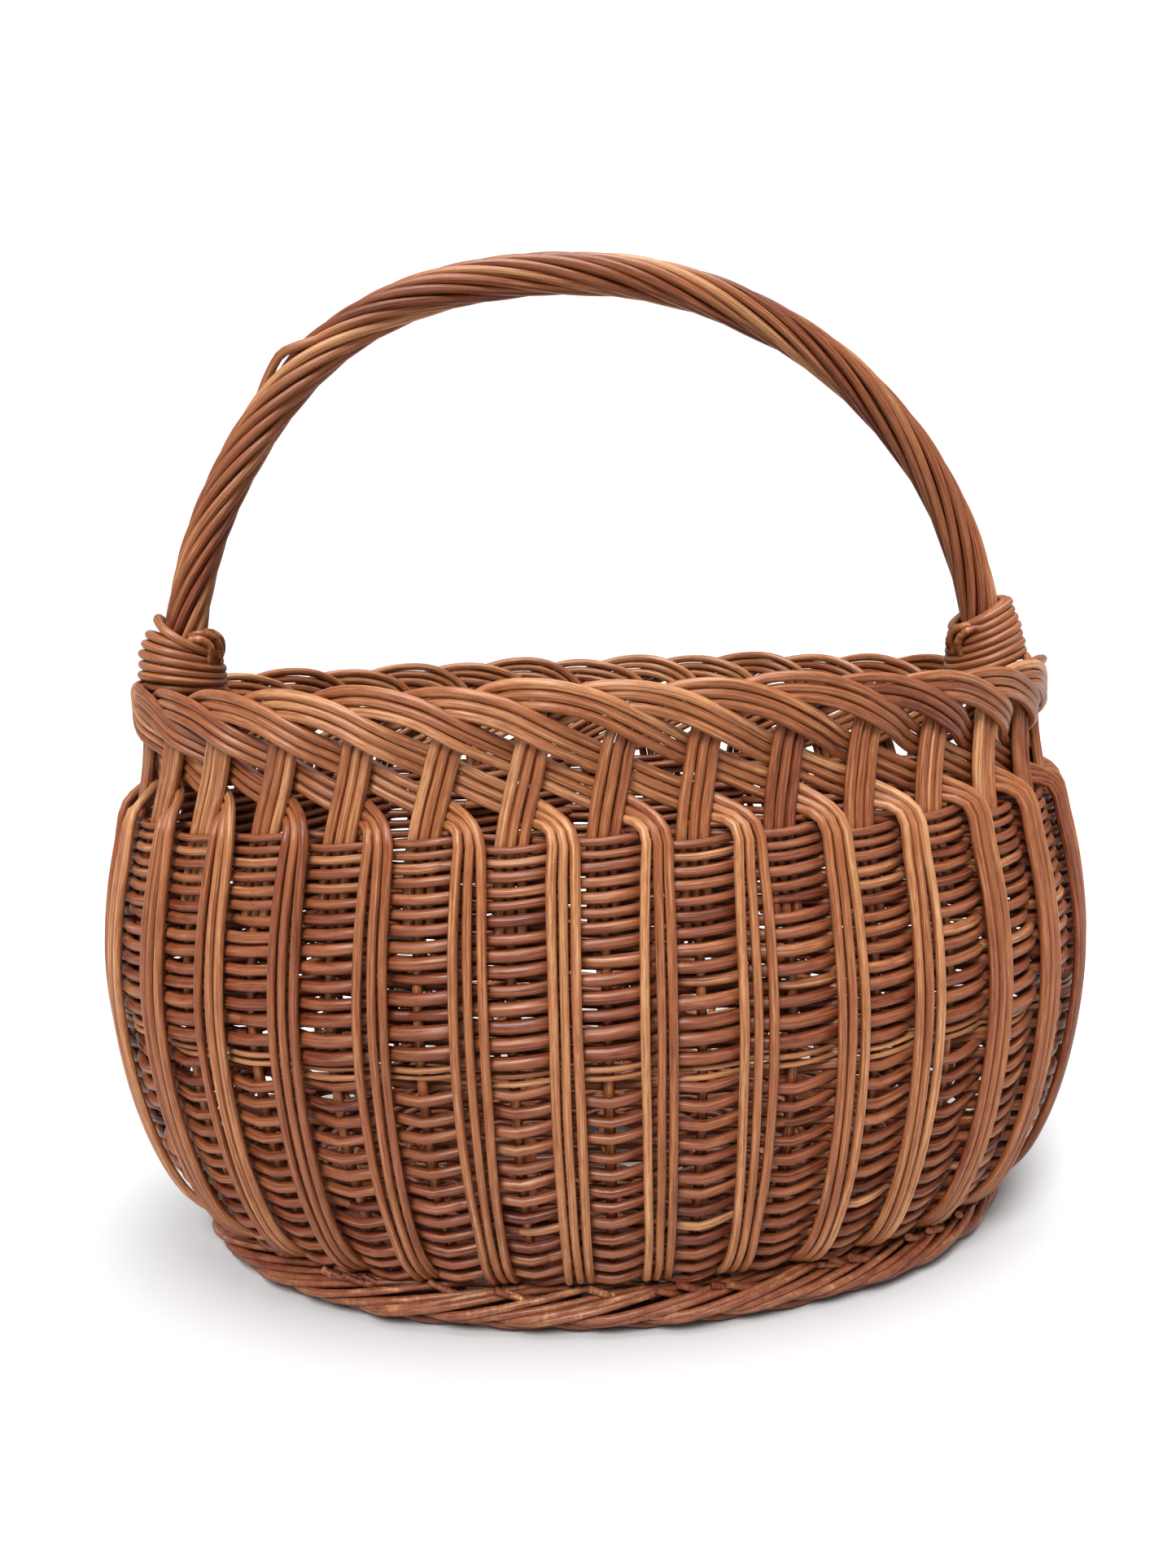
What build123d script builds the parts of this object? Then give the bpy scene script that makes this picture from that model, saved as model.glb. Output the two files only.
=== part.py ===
"""Oval wicker shopping basket with a roped bow handle. Millimetres, +Z up, X along the basket.

The origin is on the floor, under the middle of the foot. Places on the wall are given by a station
number round the oval, a height, and a distance out from the middle of the wall's thickness.
"""

from build123d import *
import math
import os

os.makedirs("parts", exist_ok=True)

# Overall shape: half sizes over the outer ribs, and heights
belly_half_length = 220.0
belly_half_width = 138.0
belly_height = 127.0
rim_height = 248.0
rim_inset = 17.0
rim_turn_depth = 13.0
width_share_of_inset = 0.72
belly_round_depth = 57.0
belly_round_height = 120.0

# Rods
rod_diameter = 3.9
rod_gap = 0.4
stations = 32
first_station = -0.18
weaver_bulge = 3.25
fit_clearance = 0.1

# Side weave levels
foot_gap = 0.5
band_bottom = 106.0
band_top = 113.0
border_depth = 55.0
bye_stake_length = 51.0
level_gap = 0.2

# Foot border and base
foot_overhang_ends = 5.5
foot_overhang_sides = 15.0
foot_breadth = 24.0
foot_height = 17.0
foot_rounding = 5.0
base_thickness = 9.0
long_stick_diameter = 4.2
cross_stick_diameter = 7.4
long_sticks = 3
cross_sticks = 7
long_stick_spacing = 11.0
cross_stick_spacing = 36.0

# Handle
arch_inset = 13.7
arch_centre_depth = 13.0
bow_diameter = 8.0
bow_station = 8.17
bow_end_height = 118.0
handle_rods = 10
handle_rod_gap = 0.51
handle_turns = 3.5
handle_stops_per_turn = 11
handle_rod_diameter = 3.7
binding_rod_diameter = 4.4
binding_turns = 7
binding_bottom_angle = 3.5
binding_clearance = 1.05
binding_flare = 2.6

# Sizes that follow
rod_radius = rod_diameter / 2
rod_pitch = rod_diameter + rod_gap
weave_half = rod_radius + weaver_bulge
rib_offset = weave_half + rod_gap / 2 + rod_radius
wall_inset = rib_offset + rod_radius
layer = rod_diameter + rod_gap / 2
stations_half = stations // 2
rim_turn_height = rim_height - rim_turn_depth
weave_bottom = foot_height + foot_gap
weave_top = rim_height - border_depth
bye_stake_bottom = weave_top - bye_stake_length
arch_centre_height = rim_height - arch_centre_depth
handle_rods_side_by_side = handle_rods * (handle_rod_diameter + handle_rod_gap) / (2 * math.pi)
handle_rods_on_bow = (bow_diameter + handle_rod_diameter) / 2 + fit_clearance
handle_ring_radius = max(handle_rods_side_by_side, handle_rods_on_bow)
binding_top_inner_radius = handle_ring_radius + handle_rod_diameter / 2 + binding_clearance


def smooth(t):
    """0 to 1 with level ends."""
    t = min(max(t, 0.0), 1.0)
    return t * t * (3 - 2 * t)


def inset_at(z):
    """How far the ribs' outside lies in from the belly at a height."""
    if z >= belly_height:
        return rim_inset * smooth((z - belly_height) / (rim_turn_height - belly_height))
    t = min((belly_height - z) / belly_round_height, 0.97)
    return belly_round_depth * (1 - math.sqrt(1 - t * t))


def wall_axes(z, out):
    """Half length and half width of the oval at a height, out from the middle of the wall."""
    slope = inset_at(z + 0.5) - inset_at(z - 0.5)
    across = out * math.hypot(1, slope)
    length = belly_half_length - wall_inset - inset_at(z) + across
    width = belly_half_width - wall_inset - width_share_of_inset * inset_at(z) + across
    return length, width


def station_angles(steps=1440):
    """The oval's angle at each of many equal steps, with the length of wall up to it."""
    a, b = wall_axes(belly_height, 0)
    lengths = [0.0]
    for i in range(steps):
        t = 2 * math.pi * (i + 0.5) / steps
        lengths.append(lengths[-1] + math.hypot(a * math.cos(t), b * math.sin(t)) * 2 * math.pi / steps)
    return lengths


ROUND = station_angles()


def angle_at(station):
    """The oval's angle at a station, which equal lengths of wall divide."""
    turns, rest = divmod(station / stations, 1.0)
    target = rest * ROUND[-1]
    low, high = 0, len(ROUND) - 1
    while high - low > 1:
        middle = (low + high) // 2
        if ROUND[middle] <= target:
            low = middle
        else:
            high = middle
    part = (target - ROUND[low]) / (ROUND[high] - ROUND[low])
    return 2 * math.pi * (turns + (low + part) / (len(ROUND) - 1))


def wall_point(station, z, out):
    """The place at a station and height, out from the middle of the wall. Station 0 is the front."""
    t = angle_at(station)
    a, b = wall_axes(z, 0)
    reach = wall_axes(z, out)[0] - a
    nx, ny = b * math.sin(t), -a * math.cos(t)
    n = math.hypot(nx, ny)
    return Vector(a * math.sin(t) + reach * nx / n, -b * math.cos(t) + reach * ny / n, z)


def wall_normal(station, z):
    """The direction out of the wall."""
    return (wall_point(station, z, 1) - wall_point(station, z, 0)).normalized()


def beside(points, normals, shift):
    """A path that runs beside another on the wall, a distance to the left of its travel."""
    moved = []
    for i, point in enumerate(points):
        before = points[max(i - 1, 0)]
        after = points[min(i + 1, len(points) - 1)]
        along = (after - before).normalized()
        left = normals[i].cross(along).normalized()
        half_turn = 0.0
        if 0 < i < len(points) - 1:
            half_turn = math.radians((point - before).get_angle(after - point)) / 2
        moved.append(point + left * (shift / math.cos(half_turn)))
    return moved


def bend_radii(points):
    """For each corner the largest arc that both its runs leave room for."""
    radii = []
    for before, point, after in zip(points, points[1:], points[2:]):
        turn = math.radians((point - before).get_angle(after - point))
        shorter = min((point - before).length, (after - point).length)
        radii.append(0.45 * shorter / math.tan(turn / 2))
    return radii


def rod(points, diameter):
    """A round rod along straight runs joined by tangent arcs, in the part being built."""
    with BuildLine(mode=Mode.PRIVATE) as path:
        FilletPolyline(*points, radius=bend_radii(points))
    with BuildSketch(Plane(path.line @ 0, z_dir=path.line % 0)) as section:
        Circle(diameter / 2)
    sweep(section.sketch, path=path.line)


# A strand's route: stations past its own stake, height, and layer out from the middle of the wall
rise = [(0, weave_top - 3, 0), (0.13, weave_top + 19, 0), (0.34, rim_height - 15.5, 0)]
arc_and_band = [
    (0.80, rim_height - 8.3, -0.2),
    (1.36, rim_height - 6.6, layer),
    (1.95, rim_height - 11.4, layer),
    (2.50, rim_height - 20.2, layer * 0.85),
    (2.98, rim_height - 28.0, -layer),
    (3.60, rim_height - 37.0, -layer),
    (4.24, rim_height - 45.2, -layer * 0.95),
    (4.57, rim_height - 52.0, rib_offset - 0.6),
]
rib_top = weave_top - 13
rib_heights = [rib_top, (rib_top + belly_height) / 2, belly_height, 96, 66, 42, foot_height + 9]
rib_station = 4.6
stake_heights = [weave_bottom + 1.5, 34, 56, 84, 116, (116 + weave_top - 3) / 2]


def strand_paths(station):
    """The paths of one station's three rods: left bye-stake, stake and right bye-stake."""
    upper = rise + arc_and_band
    ribs = [(rib_station, z, rib_offset) for z in rib_heights]
    ribs.append((rib_station, foot_height + rod_radius + 2.2, rib_offset))
    route = upper + ribs
    paths = []
    for side, start in ((1, [bye_stake_bottom]), (0, stake_heights), (-1, [bye_stake_bottom])):
        places = [(0, z, 0) for z in start] + route
        points = [wall_point(station + u, z, out) for u, z, out in places]
        normals = [wall_normal(station + u, z) for u, z, out in places]
        paths.append(beside(points, normals, side * rod_pitch))
    return paths


def upright_rooms():
    """The room for every rod that stands in the weave, as wide as the rod and its clearance."""
    rooms = []
    for i in range(stations_half):
        paths = strand_paths(first_station + i)
        for points in paths:
            standing = len(points) - len(arc_and_band) - len(rib_heights) - 2
            with BuildPart(mode=Mode.PRIVATE) as room:
                rod(points[:standing], rod_diameter + 2 * fit_clearance)
            rooms += [room.part, room.part.rotate(Axis.Z, 180)]
    return rooms


def weave_sections(bottom, top):
    """The heights at which a stretch of wall is given its shape."""
    marks = [17.5, 22, 30, 45, 70, 100, 127, 155, 180, 205]
    return [bottom] + [z for z in marks if bottom + 3 < z < top - 3] + [top]


def wall_shell(bottom, top):
    """One level of the woven wall: an oval shell."""
    for out, mode in ((weave_half, Mode.ADD), (-weave_half, Mode.SUBTRACT)):
        ovals = []
        for z in weave_sections(bottom, top):
            with BuildSketch(Plane.XY.offset(z)) as oval:
                length, width = wall_axes(z, out)
                Ellipse(width, length, rotation=90)
            ovals.append(oval.sketch.face())
        loft(ovals, mode=mode)


def make_weave(name, bottom, top, rooms):
    """A level of the wall with a hole for every rod that stands in it, and for the bow's feet."""
    crossing = [r for r in rooms if r.bounding_box().max.Z > bottom and r.bounding_box().min.Z < top]
    with BuildPart() as weave:
        wall_shell(bottom, top)
        if top > bow_end_height:
            for foot in bow_foot_rooms():
                add(foot, mode=Mode.SUBTRACT)
        add(crossing, mode=Mode.SUBTRACT)
    weave.part.label = name
    export_step(weave.part, f"parts/{name}.step")


def make_strand(number):
    """One station's three rods, and the same strand half way round."""
    with BuildPart() as strand:
        for points in strand_paths(first_station + number):
            rod(points, rod_diameter)
    for half in range(2):
        name = f"strand_{number + 1 + half * stations_half:02d}"
        turned = strand.part.rotate(Axis.Z, 180 * half)
        turned.label = name
        export_step(turned, f"parts/{name}.step")


wall_foot_length, wall_foot_width = wall_axes(weave_bottom, 0)
foot_half_length = wall_foot_length + foot_overhang_ends
foot_half_width = wall_foot_width + foot_overhang_sides
arch_radius = wall_axes(rim_height, 0)[0] - arch_inset


def make_foot():
    """The roped foot: a ring with a flat underside."""
    with BuildPart() as foot_border:
        with BuildSketch():
            Ellipse(foot_half_length, foot_half_width)
            Ellipse(foot_half_length - foot_breadth, foot_half_width - foot_breadth, mode=Mode.SUBTRACT)
        extrude(amount=foot_height)
        fillet(foot_border.edges(), foot_rounding)
    foot_border.part.label = "foot_border"
    export_step(foot_border.part, "parts/foot_border.step")


base_bottom = foot_height + level_gap
base_middle = base_bottom + base_thickness / 2
base_length, base_width = wall_axes(base_bottom, -weave_half - level_gap)


def stick_reach(across, half_along, half_across):
    """How long a stick can be that lies off the middle of the oval base."""
    return half_along * math.sqrt(1 - (across / half_across) ** 2)


def long_stick_set(diameter):
    """The sticks that run the length of the base."""
    for i in range(long_sticks):
        y = (i - (long_sticks - 1) / 2) * long_stick_spacing
        reach = stick_reach(y, base_length, base_width) - rod_diameter
        with Locations(Location((0, y, base_middle), (0, 90, 0))):
            Cylinder(diameter / 2, 2 * reach)


def cross_stick_set(diameter):
    """The sticks that cross them."""
    for i in range(cross_sticks):
        x = (i - (cross_sticks - 1) / 2) * cross_stick_spacing
        reach = stick_reach(x, base_width, base_length) - rod_diameter
        with Locations(Location((x, 0, base_middle), (90, 0, 0))):
            Cylinder(diameter / 2, 2 * reach)


def make_base():
    """The base: long sticks through pierced cross sticks, and the weave round them."""
    with BuildPart() as base_long_sticks:
        long_stick_set(long_stick_diameter)
    with BuildPart() as long_room:
        long_stick_set(long_stick_diameter + 2 * fit_clearance)
    with BuildPart() as base_cross_sticks:
        cross_stick_set(cross_stick_diameter)
        add(long_room.part, mode=Mode.SUBTRACT)
    with BuildPart() as cross_room:
        cross_stick_set(cross_stick_diameter + 2 * fit_clearance)
    with BuildPart() as base_weave:
        with BuildSketch(Plane.XY.offset(base_bottom)):
            Ellipse(base_length, base_width)
        extrude(amount=base_thickness)
        add(long_room.part, mode=Mode.SUBTRACT)
        add(cross_room.part, mode=Mode.SUBTRACT)
    base_long_sticks.part.label = "base_long_sticks"
    base_cross_sticks.part.label = "base_cross_sticks"
    base_weave.part.label = "base_weave"
    for part in (base_long_sticks.part, base_cross_sticks.part, base_weave.part):
        export_step(part, f"parts/{part.label}.step")


bow_foot = wall_point(bow_station, weave_top, 0)
handle_turn = math.degrees(math.atan2(bow_foot.Y, bow_foot.X))
bow_embed = -layer


def bow_leg():
    """The bow's right leg, from the end of the arch down the inside of the border into the weave."""
    clear = layer + rod_radius + rod_gap + bow_diameter / 2
    inside = [(weave_top + 22, clear + 2.5), (weave_top + 2, clear)]
    points = [Vector(arch_radius, 0, arch_centre_height)]
    for z, gap in inside:
        reach = math.hypot(wall_point(bow_station, z, 0).X, wall_point(bow_station, z, 0).Y)
        points.append(Vector(reach - gap, 0, z))
    leg_top = weave_top - 17
    for z in (leg_top, (leg_top + belly_height) / 2, belly_height, bow_end_height):
        spot = wall_point(bow_station, z, bow_embed)
        points.append(Vector(math.hypot(spot.X, spot.Y), 0, z))
    return points


def arch_point(angle, radius=0.0, turn=0.0):
    """A place on the arch, or at a radius round its middle line. Angle 0 is the right foot."""
    reach = arch_radius + radius * math.cos(turn)
    x, z = reach * math.cos(angle), arch_centre_height + reach * math.sin(angle)
    return Vector(x, radius * math.sin(turn), z)


def turned_handle(part):
    """The handle stands over the gaps that its feet go into."""
    return part.rotate(Axis.Z, handle_turn)


def bow_foot_rooms():
    """The room for each of the bow's feet in the weave."""
    with BuildPart(mode=Mode.PRIVATE) as room:
        rod(bow_leg()[2:], bow_diameter + 2 * fit_clearance)
    foot = turned_handle(room.part)
    return [foot, foot.rotate(Axis.Z, 180)]


def make_bow():
    """The bow: a half circle with two legs."""
    leg = bow_leg()
    with BuildPart() as handle_bow:
        with BuildLine() as path:
            right = FilletPolyline(*reversed(leg), radius=bend_radii(leg)[::-1])
            arch = ThreePointArc(leg[0], arch_point(math.pi / 2), arch_point(math.pi))
            mirror(right, about=Plane.YZ)
        with BuildSketch(Plane(path.line @ 0, z_dir=path.line % 0)):
            Circle(bow_diameter / 2)
        sweep(path=path.line)
    bow = turned_handle(handle_bow.part)
    bow.label = "handle_bow"
    export_step(bow, "parts/handle_bow.step")


def handle_rod_points(number):
    """One roped rod's path round the bow."""
    lowest = math.radians(binding_bottom_angle)
    stops = round(handle_turns * handle_stops_per_turn)
    points = []
    for i in range(stops + 1):
        angle = lowest + (math.pi - 2 * lowest) * i / stops
        turn = 2 * math.pi * (number / handle_rods - handle_turns * (i / stops - 0.5))
        points.append(arch_point(angle, handle_ring_radius, turn))
    return points


def make_handle_rods():
    """The rods roped round the bow, each in a node of its own."""
    for number in range(handle_rods):
        with BuildPart() as handle_rod:
            rod(handle_rod_points(number), handle_rod_diameter)
        turned = turned_handle(handle_rod.part)
        turned.label = f"handle_rod_{number + 1:02d}"
        export_step(turned, f"parts/{turned.label}.step")


def make_bindings():
    """The bindings: turns of rod round each foot of the handle, wider at the bottom."""
    radius = binding_rod_diameter / 2
    height = binding_turns * binding_rod_diameter
    half_angle = math.degrees(height / 2 / arch_radius)
    middle = math.radians(binding_bottom_angle + half_angle)
    place = Plane(arch_point(middle), x_dir=(0, 1, 0), z_dir=(-math.sin(middle), 0, math.cos(middle)))
    with BuildPart() as binding:
        with BuildSketch(Plane(place.origin, x_dir=place.x_dir, z_dir=-place.y_dir)):
            for i in range(binding_turns):
                z = (i + 0.5) * binding_rod_diameter - height / 2
                flare = binding_flare * (binding_turns - 1 - i) / (binding_turns - 1)
                with Locations((binding_top_inner_radius + flare + radius, z)):
                    Circle(radius)
                    Rectangle(radius, binding_rod_diameter)
        revolve(axis=Axis(place.origin, place.z_dir))
    for name, turn in (("handle_binding_right", 0), ("handle_binding_left", 180)):
        turned = turned_handle(binding.part.rotate(Axis.Z, turn))
        turned.label = name
        export_step(turned, f"parts/{name}.step")


make_base()
make_foot()
wall_rooms = upright_rooms()
make_weave("side_weave_lower", weave_bottom, band_bottom, wall_rooms)
make_weave("side_change_band", band_bottom + level_gap, band_top - level_gap, wall_rooms)
make_weave("side_weave_upper", band_top, weave_top, wall_rooms)
for strand_number in range(stations_half):
    make_strand(strand_number)
make_bow()
make_handle_rods()
make_bindings()
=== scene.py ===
"""An oval willow basket: every rod of its weave, border, ribs, foot and roped handle.

The rods are laid as curves along the same wall that the CAD frame was built on, then made into meshes.
Sizes inside the classes are millimetres, turned into metres once, where a rod is made.
"""

import logging
import math
import random
from dataclasses import dataclass, field
from enum import Enum

import bpy
import numpy as np
from mathutils import Matrix, Vector

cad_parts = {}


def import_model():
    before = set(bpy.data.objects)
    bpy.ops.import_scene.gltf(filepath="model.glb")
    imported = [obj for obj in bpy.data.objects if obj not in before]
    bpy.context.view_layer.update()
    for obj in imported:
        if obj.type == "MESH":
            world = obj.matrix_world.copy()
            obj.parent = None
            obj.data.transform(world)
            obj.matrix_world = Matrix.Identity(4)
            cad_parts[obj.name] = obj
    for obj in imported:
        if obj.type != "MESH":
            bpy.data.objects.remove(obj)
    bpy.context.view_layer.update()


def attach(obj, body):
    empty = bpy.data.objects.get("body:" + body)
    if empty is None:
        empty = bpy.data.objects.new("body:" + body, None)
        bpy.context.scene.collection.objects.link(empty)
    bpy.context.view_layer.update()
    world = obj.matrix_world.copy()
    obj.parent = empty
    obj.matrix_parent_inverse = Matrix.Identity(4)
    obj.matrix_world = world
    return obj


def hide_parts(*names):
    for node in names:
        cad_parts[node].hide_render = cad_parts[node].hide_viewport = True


LOG = logging.getLogger("basket")
MM = 0.001
BODY = "root"
SMOOTH_ANGLE = 50.0
GRAIN_RANGE = 50.0
ROD_STEP = 5.0
Piece = bpy.types.Object
Socket = bpy.types.NodeSocket
Material = bpy.types.Material


def smooth(t: float) -> float:
    """Ease from 0 to 1 with level ends.

    Args:
        t: How far along, held between 0 and 1.

    Returns:
        The eased value.
    """
    t = min(max(t, 0.0), 1.0)
    return t * t * (3 - 2 * t)


def mix(a: float, b: float, t: float) -> float:
    """Return the value that lies t of the way from a to b."""
    return a + (b - a) * t


def linear(red: int, green: int, blue: int) -> tuple[float, float, float, float]:
    """Turn a display colour into the linear one that shaders take.

    Args:
        red: From 0 to 255.
        green: The same.
        blue: The same.

    Returns:
        Linear red, green and blue with an alpha of 1.
    """
    levels = [level / 255 for level in (red, green, blue)]
    parts = [c / 12.92 if c <= 0.04045 else ((c + 0.055) / 1.055) ** 2.4 for c in levels]
    return (*parts, 1.0)


class Side(Enum):
    """Which end of the basket a foot of the handle stands at."""

    LEFT = "left"
    RIGHT = "right"


@dataclass
class Rod:
    """One willow rod.

    Attributes:
        points: Its line, in millimetres.
        radii: Its radius at each point, in millimetres.
        tone: How pale it is, from 0 to 1.
        grain: A number that shifts its grain, so that no two rods match.
    """

    points: list[Vector]
    radii: list[float]
    tone: float
    grain: float


@dataclass
class RodMaker:
    """Makes rods into meshes, as a curve with a round bevel for each.

    Attributes:
        seed: Starts this maker's own run of random numbers.
    """

    seed: int
    chance: random.Random = field(init=False)

    def __post_init__(self) -> None:
        """Start the random numbers."""
        self.chance = random.Random(self.seed)

    def tone(self, middle: float, spread: float) -> float:
        """Return a random paleness for a rod, around a middle value."""
        return min(max(self.chance.gauss(middle, spread), 0.02), 0.98)

    def rod(self, points: list[Vector], radii: list[float], tone: float) -> Rod:
        """Return a rod along the points, with grain of its own."""
        return Rod(points, radii, tone, self.chance.uniform(0, GRAIN_RANGE))

    def lay(self, points: list[Vector], start: float, end: float, middle: float, spread: float) -> Rod:
        """Lay a tapering rod of a random tone.

        Args:
            points: Its line.
            start: Its radius at the first point.
            end: Its radius at the last point.
            middle: The middle tone.
            spread: How far the tone strays.

        Returns:
            The rod.
        """
        return self.rod(points, taper(len(points), start, end), self.tone(middle, spread))

    def mesh(self, rod: Rod, bevel_resolution: int) -> Piece:
        """Make one rod's mesh, with its UV in metres along the rod.

        Args:
            rod: The rod to make.
            bevel_resolution: Blender's roundness; the rod gets 4 sides more than twice this.

        Returns:
            The new mesh object.
        """
        bpy.ops.object.select_all(action="DESELECT")
        bpy.ops.curve.primitive_nurbs_path_add()
        curve = bpy.context.active_object.data
        curve.splines.clear()
        spline = curve.splines.new("POLY")
        spline.points.add(len(rod.points) - 1)
        places = np.ones((len(rod.points), 4), np.float32)
        places[:, :3] = np.array([p[:] for p in rod.points]) * MM
        radii = np.array(rod.radii, np.float32) * MM
        spline.points.foreach_set("co", places.ravel())
        spline.points.foreach_set("radius", radii)
        curve.bevel_depth = 1.0
        curve.bevel_resolution = bevel_resolution
        curve.use_fill_caps = True
        bpy.ops.object.convert(target="MESH")
        piece = bpy.context.active_object
        mesh = piece.data
        steps = np.linalg.norm(np.diff(places[:, :3], axis=0), axis=1)
        layer = mesh.uv_layers[0].data
        uv = np.zeros(len(layer) * 2, np.float32)
        layer.foreach_get("uv", uv)
        uv[1::2] *= float(steps.sum())
        layer.foreach_set("uv", uv)
        for name, value in (("tone", rod.tone), ("grain", rod.grain)):
            attribute = mesh.attributes.new(name, "FLOAT", "POINT")
            attribute.data.foreach_set("value", np.full(len(mesh.vertices), value, np.float32))
        return piece

    def piece(self, name: str, rods: list[Rod], bevel_resolution: int = 2) -> Piece:
        """Make many rods and join them as one named piece.

        Args:
            name: The piece's name.
            rods: The rods in it.
            bevel_resolution: The roundness of each rod.

        Returns:
            The joined mesh object.
        """
        made = [self.mesh(rod, bevel_resolution) for rod in rods]
        bpy.ops.object.select_all(action="DESELECT")
        for part in made:
            part.select_set(True)
        bpy.context.view_layer.objects.active = made[0]
        if len(made) > 1:
            bpy.ops.object.join()
        joined = bpy.context.active_object
        joined.name = name
        joined.data.name = name
        bpy.ops.object.shade_smooth_by_angle(angle=math.radians(SMOOTH_ANGLE))
        LOG.info("%s: %d rods, %d faces", name, len(rods), len(joined.data.polygons))
        return joined


def flow(points: list[Vector], spacing: float) -> list[Vector]:
    """Lay a smooth line through control points.

    Args:
        points: The control points.
        spacing: Roughly how far apart the new points lie.

    Returns:
        Points along a centripetal Catmull-Rom spline.
    """
    ends = [points[0] * 2 - points[1]] + list(points) + [points[-1] * 2 - points[-2]]
    laid = []
    for p0, p1, p2, p3 in zip(ends, ends[1:], ends[2:], ends[3:]):
        t1 = max((p1 - p0).length, 1e-3) ** 0.5
        t2 = t1 + max((p2 - p1).length, 1e-3) ** 0.5
        t3 = t2 + max((p3 - p2).length, 1e-3) ** 0.5
        count = max(1, round((p2 - p1).length / spacing))
        for i in range(count):
            t = mix(t1, t2, i / count)
            a1 = p0 * ((t1 - t) / t1) + p1 * (t / t1)
            a2 = p1 * ((t2 - t) / (t2 - t1)) + p2 * ((t - t1) / (t2 - t1))
            a3 = p2 * ((t3 - t) / (t3 - t2)) + p3 * ((t - t2) / (t3 - t2))
            b1 = a1 * ((t2 - t) / t2) + a2 * (t / t2)
            b2 = a2 * ((t3 - t) / (t3 - t1)) + a3 * ((t - t1) / (t3 - t1))
            laid.append(b1 * ((t2 - t) / (t2 - t1)) + b2 * ((t - t1) / (t2 - t1)))
    laid.append(points[-1].copy())
    return laid


def taper(count: int, start: float, end: float) -> list[float]:
    """Return count radii that run evenly from start to end."""
    return [mix(start, end, i / max(count - 1, 1)) for i in range(count)]


def oval_place(a: float, b: float, angle: float, reach: float, z: float) -> Vector:
    """Return a place on or outside an oval.

    Args:
        a: Half its length.
        b: Half its width.
        angle: The oval's angle, from the front to the right.
        reach: How far outside it.
        z: The height.

    Returns:
        The place.
    """
    nx, ny = b * math.sin(angle), -a * math.cos(angle)
    n = math.hypot(nx, ny)
    return Vector((a * math.sin(angle) + reach * nx / n, -b * math.cos(angle) + reach * ny / n, z))


def measure_oval(a: float, b: float, count: int) -> tuple[np.ndarray, np.ndarray]:
    """Walk round an oval and note which angle each step of equal length stands at.

    Args:
        a: Half its length.
        b: Half its width.
        count: How many steps make one turn.

    Returns:
        Numbers of steps and angles, over three turns each way.
    """
    pieces, covered = 1440, range(-3, 3)
    angles = 2 * math.pi * (np.arange(pieces) + 0.5) / pieces
    lengths = np.concatenate([[0.0], np.cumsum(np.hypot(a * np.cos(angles), b * np.sin(angles)))])
    around = lengths[:-1] / lengths[-1]
    share = np.arange(pieces) / pieces
    steps = np.concatenate([(around + turn) * count for turn in covered])
    turned = np.concatenate([(share + turn) * 2 * math.pi for turn in covered])
    return steps, turned


@dataclass(frozen=True)
class Wall:
    """The bellied oval wall that every rod of the side is laid on.

    Attributes:
        belly_half_length: Half the length at the widest height.
        belly_half_width: Half the width there.
        belly_height: That height.
        rim_inset: How far in the rim lies.
        rim_turn_height: Where the wall is upright again.
        round_depth: How far in the wall comes below the belly.
        round_height: Over what height.
        width_share: The short way's share of an inset.
        inset: From the outside to the middle of the wall.
        stations: How many stakes stand round it.
        first_station: The first stake's, right of the front.
    """

    belly_half_length: float = 220.0
    belly_half_width: float = 138.0
    belly_height: float = 127.0
    rim_inset: float = 17.0
    rim_turn_height: float = 235.0
    round_depth: float = 57.0
    round_height: float = 120.0
    width_share: float = 0.72
    inset: float = 9.3
    stations: int = 32
    first_station: float = -0.18

    def inset_at(self, z: float) -> float:
        """Return how far the outside lies in from the belly at a height."""
        if z >= self.belly_height:
            climb = self.rim_turn_height - self.belly_height
            return self.rim_inset * smooth((z - self.belly_height) / climb)
        t = min((self.belly_height - z) / self.round_height, 0.97)
        return self.round_depth * (1 - math.sqrt(1 - t * t))

    def axes(self, z: float, out: float) -> tuple[float, float]:
        """Return the oval's half length and half width.

        Args:
            z: The height.
            out: How far out from the middle of the wall.

        Returns:
            The two half axes.
        """
        slope = self.inset_at(z + 0.5) - self.inset_at(z - 0.5)
        across = out * math.hypot(1, slope)
        lean = self.inset_at(z)
        length = self.belly_half_length - self.inset - lean + across
        width = self.belly_half_width - self.inset - self.width_share * lean + across
        return length, width

    def angle(self, station: float) -> float:
        """Return the oval's angle at a station; stations are equal lengths of wall apart."""
        return float(np.interp(station, STATION_STEPS, ANGLE_STEPS))

    def point(self, station: float, z: float, out: float) -> Vector:
        """Return a place on the wall.

        Args:
            station: Stations to the right of the front.
            z: The height.
            out: How far out from the middle of the wall.

        Returns:
            The place.
        """
        a, b = self.axes(z, 0)
        return oval_place(a, b, self.angle(station), self.axes(z, out)[0] - a, z)

    def normal(self, station: float, z: float) -> Vector:
        """Return the direction out of the wall."""
        return (self.point(station, z, 1) - self.point(station, z, 0)).normalized()


WALL = Wall()
STATION_STEPS, ANGLE_STEPS = measure_oval(*WALL.axes(WALL.belly_height, 0), WALL.stations)


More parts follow.
